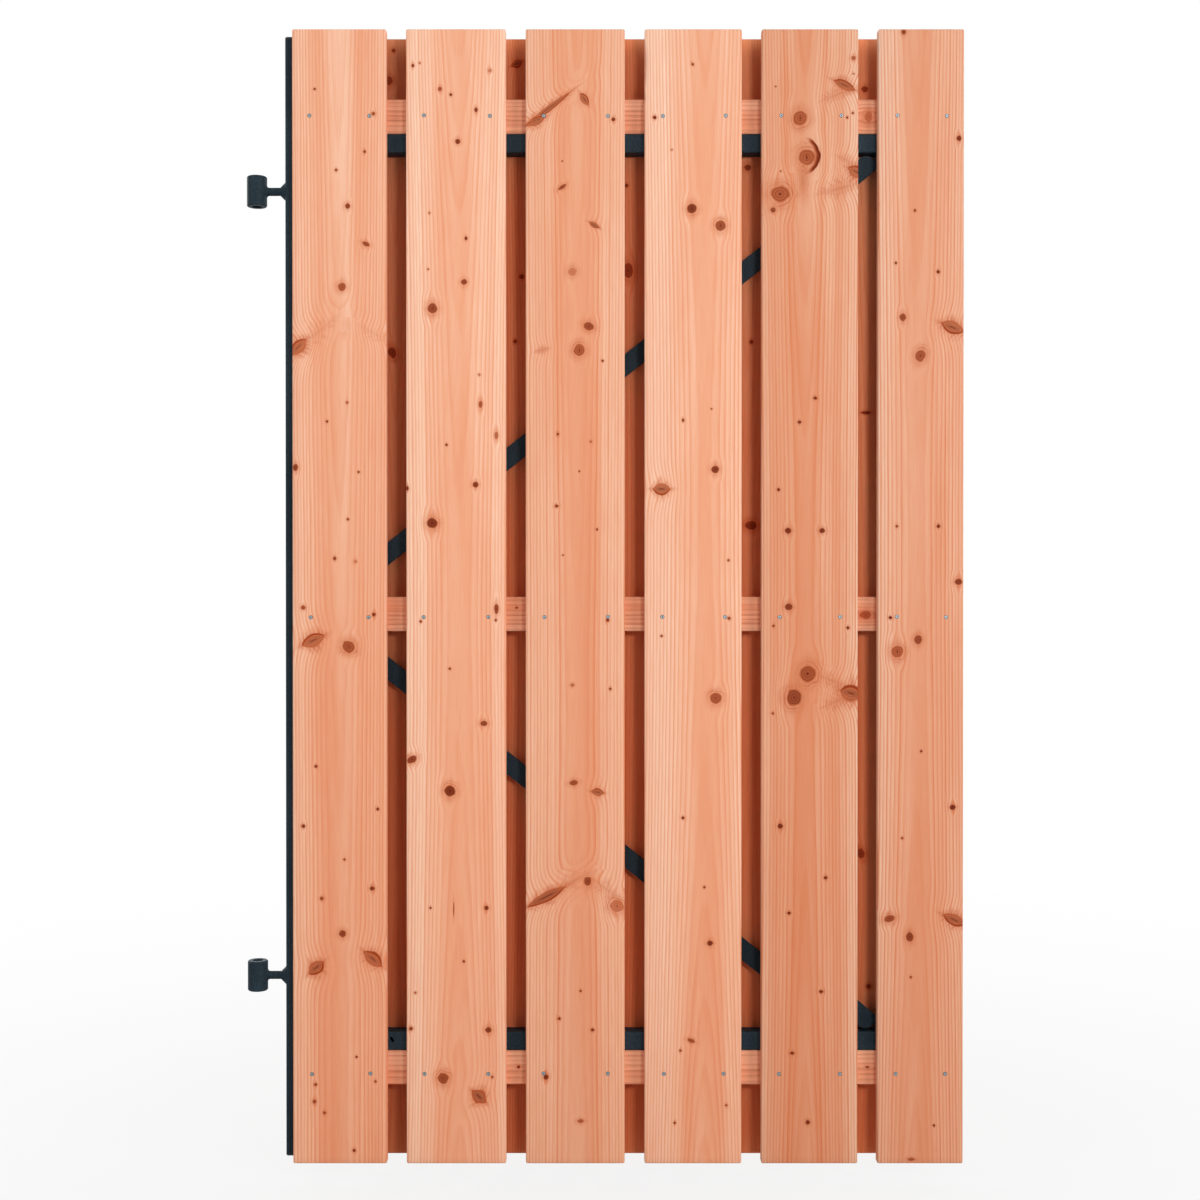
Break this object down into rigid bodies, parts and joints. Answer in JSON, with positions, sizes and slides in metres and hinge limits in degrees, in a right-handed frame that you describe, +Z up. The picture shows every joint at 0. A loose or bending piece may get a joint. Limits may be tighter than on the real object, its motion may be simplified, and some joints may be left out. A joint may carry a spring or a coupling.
{
  "type": "garden gate leaf",
  "caption": "Tall garden gate leaf of upright softwood boards in two overlapping layers on a dark powder-coated steel frame with a K-brace and hinge eyes on one edge.",
  "frame": {"origin": "on the hinge axis, at the centre of the lower hinge eye's underside", "axes": "+Z up along the hinge axis, +X across the leaf from the hinge edge to the lock edge, +Y from the front boards to the rear boards"},
  "size_m": [1.1425, 0.066, 1.8],
  "materials": {
    "board_wood": "matte",
    "rail_wood": "matte",
    "frame_steel": "satin",
    "cap_plastic": "satin"
  },
  "bodies": {
    "root": {"front_board_1": "board_wood", "front_board_2": "board_wood", "front_board_3": "board_wood", "front_board_4": "board_wood", "front_board_5": "board_wood", "front_board_6": "board_wood", "rear_board_1": "board_wood", "rear_board_2": "board_wood", "rear_board_3": "board_wood", "rear_board_4": "board_wood", "rear_board_5": "board_wood", "top_rail": "rail_wood", "middle_rail": "rail_wood", "middle_rail_stub": "rail_wood", "bottom_rail": "rail_wood", "hinge_upright": "frame_steel", "lock_upright": "frame_steel", "top_bar": "frame_steel", "bottom_bar": "frame_steel", "upper_brace": "frame_steel", "lower_brace": "frame_steel", "upper_corner_plate": "frame_steel", "lower_corner_plate": "frame_steel", "upper_hinge_eye": "frame_steel", "lower_hinge_eye": "frame_steel", "upper_cap": "cap_plastic", "lower_cap": "cap_plastic"}
  },
  "joints": []
}
